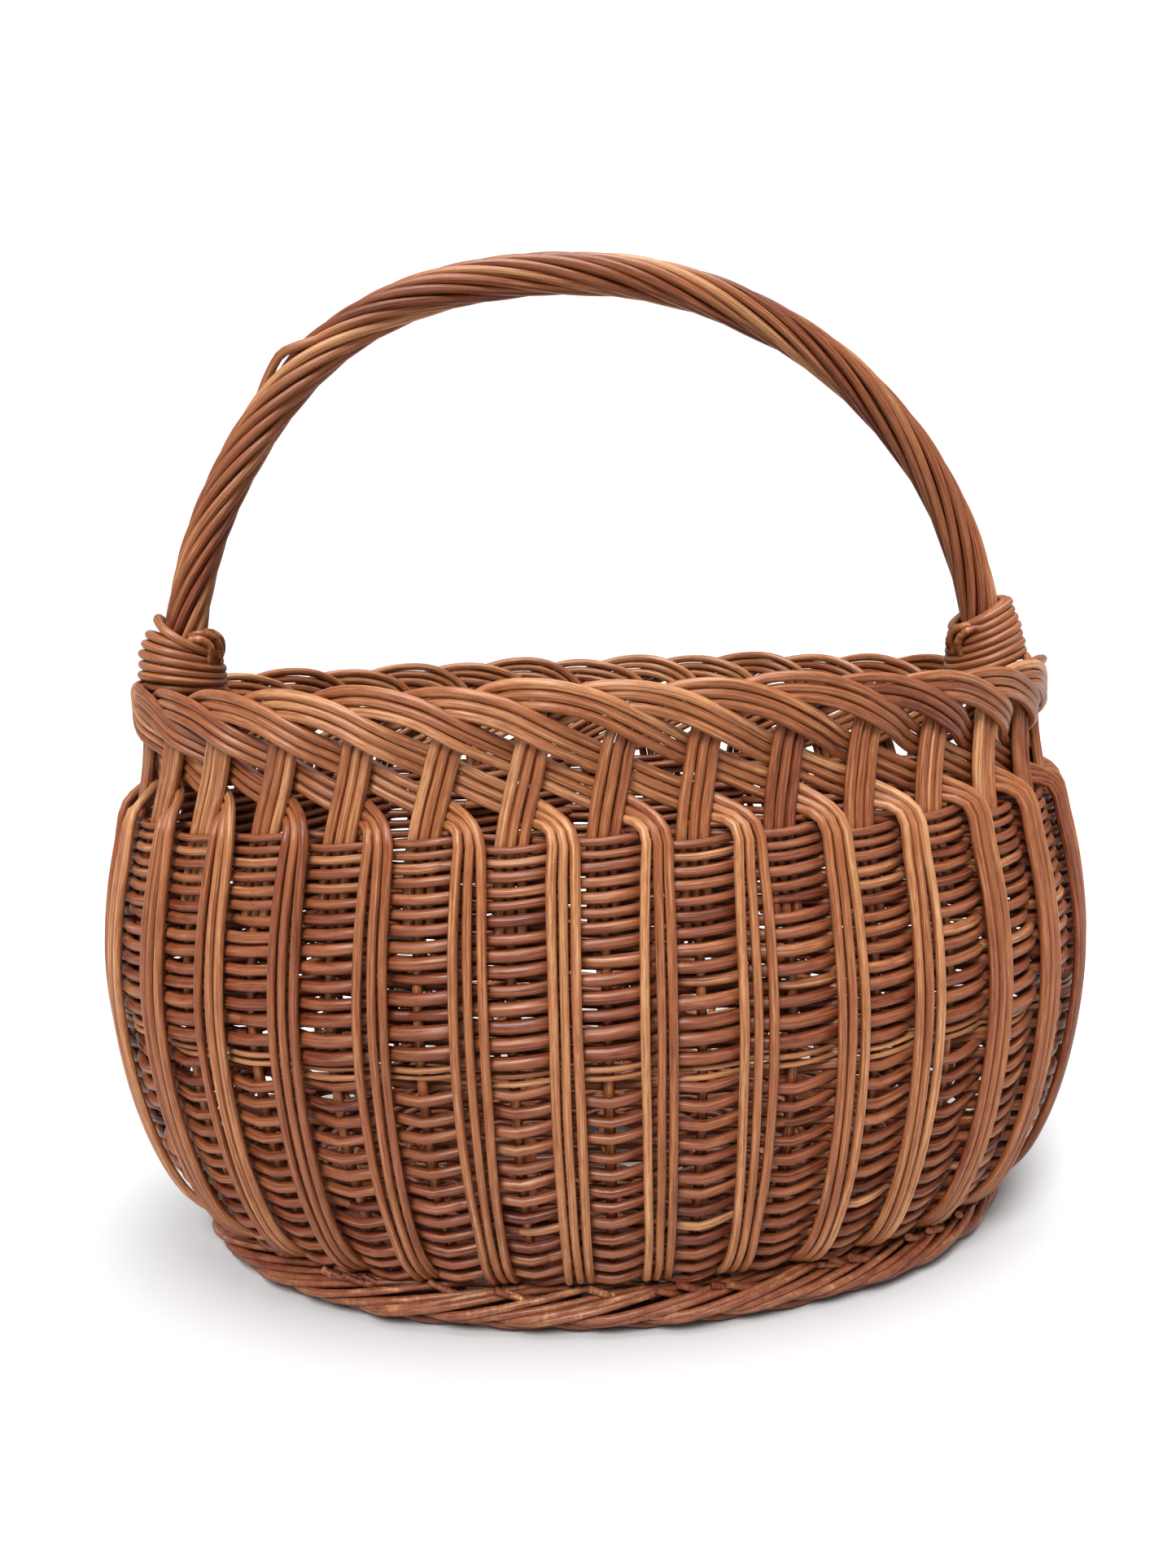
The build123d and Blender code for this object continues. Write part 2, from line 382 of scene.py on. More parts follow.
class Nodes:
    """A short way to build a material's node tree.

    Attributes:
        material: The material.
        tree: Its node tree.
        shader: Its Principled node.
    """

    def __init__(self, name: str) -> None:
        """Start a material of that name with its usual tree."""
        self.material = bpy.data.materials.new(name)
        self.material.use_nodes = True
        self.tree = self.material.node_tree
        self.shader = self.tree.nodes["Principled BSDF"]

    def add(self, kind: str, **settings: object) -> bpy.types.Node:
        """Add a node.

        Args:
            kind: The node's type.
            settings: Its properties.

        Returns:
            The new node.
        """
        node = self.tree.nodes.new(kind)
        for key, value in settings.items():
            setattr(node, key, value)
        return node

    def feed(self, end: Socket, value: object) -> None:
        """Link an output to an input, or set the input to a plain value."""
        if isinstance(value, Socket):
            self.tree.links.new(value, end)
        else:
            end.default_value = value

    def dress(self, node: bpy.types.Node, **inputs: object) -> None:
        """Feed a node's inputs by name, with an underscore for each space."""
        for name, value in inputs.items():
            self.feed(node.inputs[name.replace("_", " ")], value)

    def math(self, operation: str, a: object, b: object = 0.0) -> Socket:
        """Add a Math node.

        Args:
            operation: What it does.
            a: Its first input, a socket or a number.
            b: Its second input, a socket or a number.

        Returns:
            Its output.
        """
        node = self.add("ShaderNodeMath", operation=operation)
        self.feed(node.inputs[0], a)
        self.feed(node.inputs[1], b)
        return node.outputs[0]

    def vector(self, x: Socket, y: Socket, z: Socket) -> Socket:
        """Return a vector of three sockets."""
        node = self.add("ShaderNodeCombineXYZ")
        self.dress(node, X=x, Y=y, Z=z)
        return node.outputs[0]

    def noise(self, place: Socket, scale: float, detail: float) -> Socket:
        """Return the value of a Noise texture at a place."""
        node = self.add("ShaderNodeTexNoise")
        self.dress(node, Vector=place, Scale=scale, Detail=detail)
        return node.outputs[0]

    def ramp(self, value: Socket, stops: list[tuple[float, tuple]]) -> Socket:
        """Add a colour ramp.

        Args:
            value: What picks the colour.
            stops: Places from 0 to 1 and their colours.

        Returns:
            The colour.
        """
        node = self.add("ShaderNodeValToRGB")
        bar = node.color_ramp.elements
        bar[0].position, bar[0].color = stops[0]
        bar[1].position, bar[1].color = stops[-1]
        for position, colour in stops[1:-1]:
            bar.new(position).color = colour
        self.feed(node.inputs[0], value)
        return node.outputs[0]

    def blend(self, amount: Socket, a: Socket, b: tuple) -> Socket:
        """Mix a colour b into a colour a by an amount and return the result."""
        node = self.add("ShaderNodeMix", data_type="RGBA", blend_type="MIX")
        for index, value in ((0, amount), (6, a), (7, b)):
            self.feed(node.inputs[index], value)
        return node.outputs[2]


@dataclass(frozen=True)
class Pattern:
    """A noise pattern that follows a rod.

    Attributes:
        along: How fine it is along the rod.
        around: How fine it is round the rod.
        scale: The noise's scale.
        detail: The noise's detail.
    """

    along: float
    around: float
    scale: float
    detail: float


STREAK = Pattern(14.0, 1.0, 2.1, 4.0)
FIBRE = Pattern(14.0, 7.0, 1.6, 3.0)
BLOTCH = Pattern(90.0, 1.0, 0.8, 2.0)
FLECK = Pattern(190.0, 1.0, 2.3, 2.0)


class RodNodes(Nodes):
    """A rod's node tree, with patterns that run round it and along it.

    Attributes:
        tone: The rod's paleness.
    """

    def __init__(self, name: str) -> None:
        """Start the material and read the rod's UV and attributes."""
        super().__init__(name)
        parts = self.add("ShaderNodeSeparateXYZ")
        self.dress(parts, Vector=self.add("ShaderNodeUVMap").outputs[0])
        turn = self.math("MULTIPLY", parts.outputs[0], 2 * math.pi)
        self.side = self.math("COSINE", turn)
        self.up = self.math("SINE", turn)
        self.along = parts.outputs[1]
        self.tone = self.add("ShaderNodeAttribute", attribute_name="tone").outputs["Fac"]
        self.grain = self.add("ShaderNodeAttribute", attribute_name="grain").outputs["Fac"]

    def pattern(self, kind: Pattern) -> Socket:
        """Return a pattern's value."""
        side = self.math("MULTIPLY", self.side, kind.around)
        up = self.math("MULTIPLY", self.up, kind.around)
        along = self.math("ADD", self.math("MULTIPLY", self.along, kind.along), self.grain)
        return self.noise(self.vector(side, up, along), kind.scale, kind.detail)

    def total(self, start: object, *terms: tuple[Socket, float]) -> Socket:
        """Return a start value with each term added, times its weight."""
        for value, weight in terms:
            start = self.math("ADD", start, self.math("MULTIPLY", value, weight))
        return start


@dataclass(frozen=True)
class Willow:
    """The finish of stained willow rods: satin brown with streaks, blotches and flecks along each rod.

    Attributes:
        name: The material's name.
        deep: The darkest streaks' colour.
        dark: The darker rods'.
        middle: The usual one.
        pale: The palest rods'.
        shift: Moves every tone, darker below 0.
        roughness: The middle roughness.
        rough_swing: How far the fibres change it.
        coat: How much varnish.
        coat_roughness: Its roughness.
        specular: How strongly it mirrors.
        streak: How far the streaks change the tone.
        blotch: How far the blotches do.
        fibre: How far the fibres do.
        fleck: How strong the dark flecks are.
        bump: The relief's strength.
        bump_depth: Its depth, in metres.
    """

    name: str
    deep: tuple = linear(58, 18, 9)
    dark: tuple = linear(114, 57, 33)
    middle: tuple = linear(156, 99, 62)
    pale: tuple = linear(212, 166, 120)
    shift: float = 0.0
    roughness: float = 0.38
    rough_swing: float = 0.24
    coat: float = 0.14
    coat_roughness: float = 0.32
    specular: float = 0.45
    streak: float = 0.935
    blotch: float = 0.5
    fibre: float = 0.42
    fleck: float = 0.75
    bump: float = 0.55
    bump_depth: float = 0.0004

    def make(self) -> Material:
        """Build the material.

        Returns:
            The new material.
        """
        n = RodNodes(self.name)
        streak, fibre, blotch, fleck = (n.pattern(kind) for kind in (STREAK, FIBRE, BLOTCH, FLECK))
        swings = ((streak, self.streak), (blotch, self.blotch), (fibre, self.fibre))
        unswung = self.shift - sum(weight for _, weight in swings) / 2
        level = n.total(n.math("ADD", n.tone, unswung), *swings)
        stops = [(0.0, self.deep), (0.24, self.dark), (0.56, self.middle), (1.0, self.pale)]
        black, white = linear(0, 0, 0), linear(255, 255, 255)
        flecks = n.ramp(fleck, [(0.0, black), (0.60, black), (0.68, white)])
        colour = n.blend(n.math("MULTIPLY", flecks, self.fleck), n.ramp(level, stops), self.deep)
        rough = n.total(self.roughness - self.rough_swing / 2, (fibre, self.rough_swing))
        bump = n.add("ShaderNodeBump")
        relief = n.total(0.0, (fibre, 0.6), (blotch, 0.7), (flecks, -0.5))
        n.dress(bump, Strength=self.bump, Distance=self.bump_depth, Height=relief)
        n.dress(
            n.shader, Base_Color=colour, Roughness=rough, Normal=bump.outputs[0], Coat_Weight=self.coat,
            Coat_Roughness=self.coat_roughness, Specular_IOR_Level=self.specular,
        )
        return n.material


@dataclass
class SideWeave:
    """A stretch of the side's weave: rods that go in front of one stake and behind the next.

    Attributes:
        name: The CAD node that it stands for.
        slot: The record's material slot.
        bottom: Its lower height.
        top: Its upper height.
        rows: How many rows it has.
        radius_bottom: The lowest row's radius.
        radius_top: The highest row's.
        swing: How far a rod stands out at a stake.
        dip: How much lower it lies at the stakes.
        flat: How square the swing is, from 0 to 1.
        tone: The middle paleness.
        seed: Starts its random numbers.
        climb: How far a rod climbs on each side of a stake that it passes in front of.
        steps: Points from one station to the next.
        lap: How many stations two rods of a row overlap.
        tuck_length: Over how many stations a rod's end tucks in.
        tuck: How far, in radii.
        stray: How far a row wanders up and down, in radii.
        tone_spread: How far the tone strays.
    """

    name: str
    slot: str
    bottom: float
    top: float
    rows: int
    radius_bottom: float
    radius_top: float
    swing: float
    dip: float
    flat: float
    tone: float
    seed: int
    climb: float
    steps: int = 8
    lap: float = 0.8
    tuck_length: float = 0.9
    tuck: float = 2.2
    stray: float = 0.3
    tone_spread: float = 0.085

    def __post_init__(self) -> None:
        """Start the rod maker and note each row's height and radius."""
        self.maker = RodMaker(self.seed)
        chance = self.maker.chance
        radii = taper(self.rows, self.radius_bottom, self.radius_top)
        room = self.top - self.bottom
        scale = room / sum(radii)
        height = self.bottom
        self.levels = []
        for radius in radii:
            self.levels.append((height + radius * scale / 2, radius))
            height += radius * scale
        self.waves = [[chance.uniform(-1, 1) for _ in range(WALL.stations)] for _ in range(self.rows)]

    def wander(self, row: int, station: float) -> float:
        """Return how much a row strays up or down at a station, from -1 to 1.

        Args:
            row: The row's number.
            station: The station.

        Returns:
            The share of its full stray.
        """
        low = math.floor(station)
        waves = self.waves[row]
        count = len(waves)
        return mix(waves[low % count], waves[(low + 1) % count], smooth(station - low))

    def rod(self, row: int, start: float, length: float, butt_first: bool) -> Rod:
        """Lay one rod of a row.

        Args:
            row: The row's number.
            start: The station where it starts.
            length: How many stations it runs.
            butt_first: Whether its thick end comes first.

        Returns:
            The rod.
        """
        height, radius = self.levels[row]
        chance = self.maker.chance
        way = 1 if row % 2 else -1
        points = []
        for i in range(int(length * self.steps) + 1):
            u = i / self.steps
            station = start + u
            local = station - WALL.first_station
            wave = math.cos(math.pi * local) * way
            wave = mix(wave, wave * (1.5 - 0.5 * wave * wave), self.flat)
            near = 1 - 2 * abs(local - round(local))
            tuck = max(0.0, 1 - min(u, length - u) / self.tuck_length)
            out = wave * self.swing - tuck * self.tuck * radius
            climb = self.climb * math.sin(math.pi * local) * way
            stray = self.stray * radius * self.wander(row, station)
            points.append(WALL.point(station, height - self.dip * (near - 0.5) + climb + stray, out))
        ends = [radius * chance.uniform(1.05, 1.16), radius * chance.uniform(0.8, 0.92)]
        return self.maker.lay(points, *(ends if butt_first else ends[::-1]), self.tone, self.tone_spread)

    def build(self) -> Piece:
        """Lay every row, each of two or three rods.

        Returns:
            The piece.
        """
        chance = self.maker.chance
        rods = []
        for row in range(self.rows):
            start = chance.uniform(0, WALL.stations)
            parts = chance.choice((2, 3))
            share = WALL.stations / parts
            for part in range(parts):
                lead = round(start + part * share) + WALL.first_station + 0.5
                rods.append(self.rod(row, lead, share + self.lap, (row + part) % 2 == 0))
        return self.maker.piece(self.name + "_rods", rods)

    def dress(self, finish: Material) -> None:
        """Build the piece and give it its finish and its place in the frame."""
        settle(self.build(), finish, self.slot, self.name)


def settle(piece: Piece, finish: Material, slot: str, *nodes: str) -> None:
    """Dress a finished piece and tie it to the frame.

    Args:
        piece: The piece.
        finish: Its material.
        slot: The record's material slot; not used.
        nodes: The CAD nodes that it stands for.
    """
    piece.data.materials.clear()
    piece.data.materials.append(finish)
    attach(piece, BODY)
    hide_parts(*nodes)
    LOG.info("%s rides on %s and stands for %s", piece.name, BODY, ", ".join(nodes))


@dataclass
class Strand:
    """One station's three rods: stake and bye-stakes, border arc, band and outer ribs in one run.

    Attributes:
        number: The station's number, from 1.
        pitch: From one rod's middle to the next.
        squeeze: The share of it where the strand crosses others.
        jitter: How far a point strays sideways.
        radius: The usual radius.
        seed: Starts its random numbers, with the number.
        stake_heights: Heights of the stake's points in the weave.
        bye_heights: Heights of the bye-stakes'.
        rise: Stations, heights and places outwards up to the border.
        arc: The same over the border, before two neighbours and behind two.
        bend: The same where the rods turn down.
        bend_step: How much lower each rod to the left bends.
        ribs: Heights and places outwards down the side.
        rib_station: The ribs' station, from the stake's.
        rib_bow: How soon the ribs spread and close.
    """

    number: int
    pitch: float = 4.05
    squeeze: float = 0.93
    jitter: float = 0.22
    radius: float = 2.0
    seed: int = 400
    stake_heights: tuple = (18.0, 34.0, 56.0, 84.0, 116.0, 142.0, 166.0)
    bye_heights: tuple = (160.0, 172.0)
    rise: tuple = ((0, 190, 0), (0.13, 212, 0), (0.34, 232.5, 0))
    arc: tuple = (
        (0.80, 240.4, 0.1), (1.36, 242.2, 4.1), (1.95, 237.8, 4.3), (2.50, 229.2, 3.6),
        (2.98, 221.0, -3.6), (3.60, 211.6, -4.1), (4.20, 203.2, -3.5),
    )
    bend: tuple = (4.55, 196.5, 6.45)
    bend_step: float = 1.6
    ribs: tuple = (
        (180, 7.35), (157, 7.35), (127, 7.35), (96, 7.35), (66, 7.35),
        (44, 7.2), (31, 6.6), (22, 4.2), (14, -1.5),
    )
    rib_station: float = 4.57
    rib_bow: float = 5.5

    def __post_init__(self) -> None:
        """Start the rod maker and draw how this strand strays from the usual one."""
        self.maker = RodMaker(self.seed + self.number)
        draw = self.maker.chance.uniform
        self.lift = draw(-1.4, 1.8)
        self.lean = draw(0.85, 1.15)
        self.rib_sway = draw(-0.04, 0.04)
        self.rib_spread = (draw(-0.05, 0.0), draw(-0.015, 0.015), draw(-0.01, 0.06))

    def route(self, side: int, start: tuple) -> list[Vector]:
        """Lay one rod's control points.

        Args:
            side: 1 for the left bye-stake, 0 for the stake, -1 for the right one.
            start: The heights of the points below the border.

        Returns:
            The points.
        """
        first = WALL.first_station + self.number - 1
        places = [(0.0, z, 0.0) for z in start]
        places += [(u * self.lean, z, out) for u, z, out in self.rise]
        places += [(u, z + self.lift, out) for u, z, out in self.arc]
        crossing = range(len(start) + len(self.rise) + 1, len(places))
        u, z, out = self.bend
        places.append((u, z - self.bend_step * side, out))
        spread = self.rib_spread[side + 1]
        for i, (z, out) in enumerate(self.ribs):
            sway = self.rib_sway * math.sin(math.pi * (i + 1) / len(self.ribs))
            gap = spread * math.sin(math.pi * min((i + 0.6) / self.rib_bow, 1.0))
            places.append((self.rib_station + sway + gap, z, out))
        points = [WALL.point(first + u, z, out) for u, z, out in places]
        normals = [WALL.normal(first + u, z) for u, z, out in places]
        moved = []
        for i, point in enumerate(points):
            before = points[max(i - 1, 0)]
            after = points[min(i + 1, len(points) - 1)]
            along = (after - before).normalized()
            left = normals[i].cross(along).normalized()
            close = self.squeeze if i in crossing else 1.0
            jitter = self.maker.chance.uniform(-self.jitter, self.jitter)
            moved.append(point + left * (self.pitch * close * side + jitter))
        return moved

    def build(self) -> Piece:
        """Lay the three rods.

        Returns:
            The piece.
        """
        middle = self.maker.tone(0.52, 0.055)
        rods = []
        for side, start in ((1, self.bye_heights), (0, self.stake_heights), (-1, self.bye_heights)):
            points = flow(self.route(side, start), ROD_STEP)
            base = self.radius * self.maker.chance.uniform(0.95, 1.06)
            rods.append(self.maker.lay(points, base * 1.06, base * 0.8, middle, 0.075))
        return self.maker.piece(f"border_strand_{self.number:02d}", rods, 3)

    def dress(self, finish: Material) -> None:
        """Build the piece and give it its finish and its place in the frame."""
        settle(self.build(), finish, "border_rods", f"strand_{self.number:02d}")


@dataclass
class Foot:
    """The roped foot: groups of tapering rods that rise over each other round the bottom.

    Attributes:
        half_length: Half its length, outside.
        half_width: Half its width.
        breadth: How broad the rope is.
        height: How high it is.
        radius: The rods' usual radius.
        groups: How many groups of rods.
        seed: Starts its random numbers.
    """

    half_length: float = 182.5
    half_width: float = 119.5
    breadth: float = 24.0
    height: float = 17.0
    radius: float = 1.85
    groups: int = 32
    seed: int = 900

    def __post_init__(self) -> None:
        """Start the rod maker and measure the middle of the rope."""
        self.maker = RodMaker(self.seed)
        self.a = self.half_length - self.breadth / 2
        self.b = self.half_width - self.breadth / 2
        self.steps = measure_oval(self.a, self.b, self.groups)

    def point(self, place: float, turn: float, share: float) -> Vector:
        """Return a place in the rope.

        Args:
            place: How far round, in groups, from the front to the right.
            turn: The angle round the rope's middle: 0 outside, 90 on top.
            share: How far out from the rope's middle, as a share of its half size.

        Returns:
            The place.
        """
        angle = float(np.interp(place, *self.steps))
        reach = math.cos(math.radians(turn)) * share * (self.breadth / 2 - self.radius)
        rise = math.sin(math.radians(turn)) * share * (self.height / 2 - self.radius)
        return oval_place(self.a, self.b, angle, reach, self.height / 2 + rise)

    def sweep(self, start: float, span: float, turns: list[float], shares: list[float]) -> list[Vector]:
        """Lay points along the rope, one for each turn and share.

        Args:
            start: The place where they start.
            span: How many groups they run.
            turns: Their angles round the rope's middle.
            shares: How far out from it they lie.

        Returns:
            The points.
        """
        last = len(turns) - 1
        ways = zip(turns, shares)
        return [self.point(start + i / last * span, turn, share) for i, (turn, share) in enumerate(ways)]

    def rising(self, group: int) -> list[Rod]:
        """Lay the rods of one group, which rise over the outside to the top edge.

        Args:
            group: The group's number.

        Returns:
            The rods.
        """
        draw = self.maker.chance.uniform
        tone = self.maker.tone(0.52, 0.06)
        steps = taper(26, 0.0, 1.0)
        rods = []
        for i in range(2):
            start = group + WALL.first_station + draw(-0.12, 0.12)
            span = draw(3.5, 4.1)
            shift = -18.0 * i + draw(-4, 4)
            loose = draw(0.9, 1.08)
            lifts = [loose * mix(0.55, 1.05, smooth(u / 0.25)) for u in steps]
            shares = [lift * mix(1.0, 0.72, smooth((u - 0.7) / 0.3)) for lift, u in zip(lifts, steps)]
            points = self.sweep(start, span, [mix(-38, 128, u) + shift for u in steps], shares)
            radius = self.radius * draw(0.82, 1.04)
            rods.append(self.maker.lay(points, radius * 1.05, radius * 0.7, tone, 0.08))
        return rods

    def falling(self, group: int) -> list[Rod]:
        """Lay the rods that come out beneath a group and run down along the floor, in a darker tone that
        paints the shade beneath the rope.

        Args:
            group: The group's number.

        Returns:
            The rods.
        """
        draw = self.maker.chance.uniform
        steps = taper(18, 0.0, 1.0)
        shares = [mix(0.55, 1.0, smooth(u / 0.4)) for u in steps]
        rods = []
        for i in range(2):
            start = group + 0.4 + WALL.first_station + draw(-0.15, 0.15)
            span = draw(2.8, 3.3)
            points = self.sweep(start, span, [mix(-4, -140, u) - 22.0 * i for u in steps], shares)
            radius = self.radius * draw(0.85, 1.05)
            # tone 0.36, darker than the rising rods: painted shade for where these rods lie beneath the
            # rope
            rods.append(self.maker.lay(points, radius, radius * 0.85, 0.36, 0.07))
        return rods

    def tails(self, group: int) -> list[Rod]:
        """Lay the clipped ends that poke up behind the foot's top.

        Args:
            group: The group's number.

        Returns:
            The rods.
        """
        chance = self.maker.chance
        rods = []
        for _ in range(chance.choice((1, 2, 2, 3))):
            start = group + chance.uniform(-0.4, 0.4)
            run = chance.uniform(-0.75, -0.35)
            turn = chance.uniform(48, 66)
            low = self.point(start, turn, 0.5)
            middle = self.point(start + run * 0.5, turn, 1.05)
            high = self.point(start + run, turn + 6, chance.uniform(1.35, 1.85))
            points = flow([low, middle, high], 4.0)
            radius = chance.uniform(1.4, 1.85)
            rods.append(self.maker.lay(points, radius, radius * 0.9, 0.45, 0.12))
        return rods

    def build(self) -> Piece:
        """Lay every group.

        Returns:
            The piece.
        """
        rods = []
        for group in range(self.groups):
            rods += self.rising(group) + self.falling(group) + self.tails(group)
        return self.maker.piece("foot_border_rods", rods)

    def dress(self, finish: Material) -> None:
        """Build the piece and give it its finish and its place in the frame."""
        settle(self.build(), finish, "foot_rods", "foot_border")


@dataclass
class Base:
    """The woven bottom: long sticks, cross sticks and the weave that goes round them.

    Attributes:
        middle: The height of the sticks' middle.
        half_length: Half the base's length.
        half_width: Half its width.
        long_sticks: How many sticks run the length.
        long_spacing: From one to the next.
        cross_sticks: How many cross them.
        cross_spacing: From one to the next.
        round_pitch: From one round of the weave to the next.
        rounds: How many rounds; they leave the middle open.
        ways: How often a round goes over or under.
        wave: How far.
        seed: Starts its random numbers.
    """

    middle: float = 21.7
    half_length: float = 166.0
    half_width: float = 102.0
    long_sticks: int = 3
    long_spacing: float = 11.0
    cross_sticks: int = 7
    cross_spacing: float = 36.0
    round_pitch: float = 4.1
    rounds: int = 19
    ways: int = 32
    wave: float = 2.6
    seed: int = 1200

    def __post_init__(self) -> None:
        """Start the rod maker."""
        self.maker = RodMaker(self.seed)

    def stick(self, start: Vector, end: Vector, radius: float) -> Rod:
        """Lay a straight stick that strays slightly up and down.

        Args:
            start: One end.
            end: The other end.
            radius: Its radius at the start.

        Returns:
            The stick.
        """
        points = [start.lerp(end, share) for share in taper(9, 0.0, 1.0)]
        for point in points:
            point.z += self.maker.chance.uniform(-0.15, 0.15)
        return self.maker.lay(points, radius, radius * 0.92, 0.45, 0.1)

    def build_long_sticks(self) -> Piece:
        """Lay the sticks that run the length of the base.

        Returns:
            The piece.
        """
        rods = []
        reach = self.half_length - 7
        for i in range(self.long_sticks):
            y = (i - (self.long_sticks - 1) / 2) * self.long_spacing
            start, end = (Vector((x, y, self.middle)) for x in (-reach, reach))
            rods.append(self.stick(start, end, 2.1))
        return self.maker.piece("base_long_stick_rods", rods)

    def build_cross_sticks(self) -> Piece:
        """Lay the thicker sticks that cross them.

        Returns:
            The piece.
        """
        rods = []
        for i in range(self.cross_sticks):
            x = (i - (self.cross_sticks - 1) / 2) * self.cross_spacing
            reach = self.half_width * math.sqrt(1 - (x / self.half_length) ** 2) - 5
            start, end = (Vector((x, y, self.middle)) for y in (-reach, reach))
            rods.append(self.stick(start, end, 3.5))
        return self.maker.piece("base_cross_stick_rods", rods)

    def build_weave(self) -> Piece:
        """Lay the weave, round by round, over and under.

        Returns:
            The piece.
        """
        chance = self.maker.chance
        rods = []
        stops = self.ways * 4
        for ring in range(self.rounds):
            inset = 1.5 + ring * self.round_pitch
            a = self.half_length - inset
            b = max(self.half_width - inset, 6.0)
            start = chance.uniform(0, 2 * math.pi)
            points = []
            for i in range(stops + 3):
                t = start + 2 * math.pi * i / stops
                wave = self.wave * math.cos(self.ways / 2 * t + (math.pi if ring % 2 else 0))
                points.append(Vector((a * math.sin(t), -b * math.cos(t), self.middle + wave)))
            radius = chance.uniform(1.75, 2.1)
            rods.append(self.maker.lay(points, radius, radius * 0.9, 0.4, 0.09))
        return self.maker.piece("base_weave_rods", rods)

    def build(self, stick: Material, weave: Material) -> None:
        """Build the base and tie it to the frame.

        Args:
            stick: The sticks' finish.
            weave: The weavers' finish.
        """
        settle(self.build_long_sticks(), stick, "stakes", "base_long_sticks")
        settle(self.build_cross_sticks(), stick, "stakes", "base_cross_sticks")
        settle(self.build_weave(), weave, "weavers", "base_weave")


@dataclass(frozen=True)
class Wrap:
    """How the rod that binds one foot of the handle runs; a place is a height, a turn and a reach.

    Attributes:
        turns: How many whole turns it makes.
        heights: The lowest and highest turn, above the arch's centre.
        slopes: How steeply the lowest and highest turn slant.
        reaches: Shares of the way up, and how far from the bow's middle the rod runs there.
        crossing: The places of its last turn, which slants over the front.
        loops: The places of each loop that its ends make.
    """

    turns: int
    heights: tuple
    slopes: tuple
    reaches: tuple
    crossing: tuple
    loops: tuple


WRAPS = {
    Side.LEFT: Wrap(
        6, (9.0, 31.0), (0.07, 0.26),
        ((0.0, 0.2, 0.5, 0.8, 1.0), (14.6, 16.6, 16.4, 15.0, 12.6)),
        (
            (35.6, -0.5, 11.4), (37.6, 0.1, 11.4), (36.6, 0.7, 12.6), (33.6, 1.2, 13.8),
            (30.4, 1.7, 14.8), (27.6, 2.2, 15.4), (25.6, 2.7, 15.6), (24.6, 3.2, 14.2),
        ),
        (
            ((20.0, 2.50, 14.6), (25.0, 2.52, 16.8), (29.5, 2.46, 17.2), (31.8, 2.26, 16.2),
             (31.4, 2.04, 14.6), (29.8, 1.92, 12.4)),
            ((20.0, 2.84, 14.4), (26.0, 2.86, 16.6), (31.5, 2.74, 16.6), (34.4, 2.48, 15.4),
             (34.2, 2.18, 13.4), (32.4, 2.02, 11.4)),
            ((22.0, 3.18, 14.0), (28.0, 3.20, 15.6), (33.0, 3.06, 15.0), (35.4, 2.78, 13.2),
             (35.0, 2.5, 11.4)),
        ),
    ),
    Side.RIGHT: Wrap(
        7, (8.5, 34.0), (0.34, 0.36),
        ((0.0, 0.25, 0.6, 1.0), (16.6, 16.0, 14.4, 12.2)),
        ((36.0, 0.5, 11.6), (34.0, 1.1, 11.6), (31.0, 1.8, 11.8), (28.5, 2.4, 12.0), (27.0, 3.0, 11.0)),
        (
            ((15.0, 2.62, 15.6), (19.5, 2.64, 17.4), (23.6, 2.54, 17.2), (26.0, 2.32, 15.8),
             (26.2, 2.06, 13.8), (25.2, 1.9, 11.6)),
            ((15.5, 2.96, 15.2), (20.5, 2.98, 17.0), (25.0, 2.86, 16.8), (27.8, 2.60, 15.2),
             (28.2, 2.3, 13.0), (27.0, 2.1, 11.2)),
        ),
    ),
}


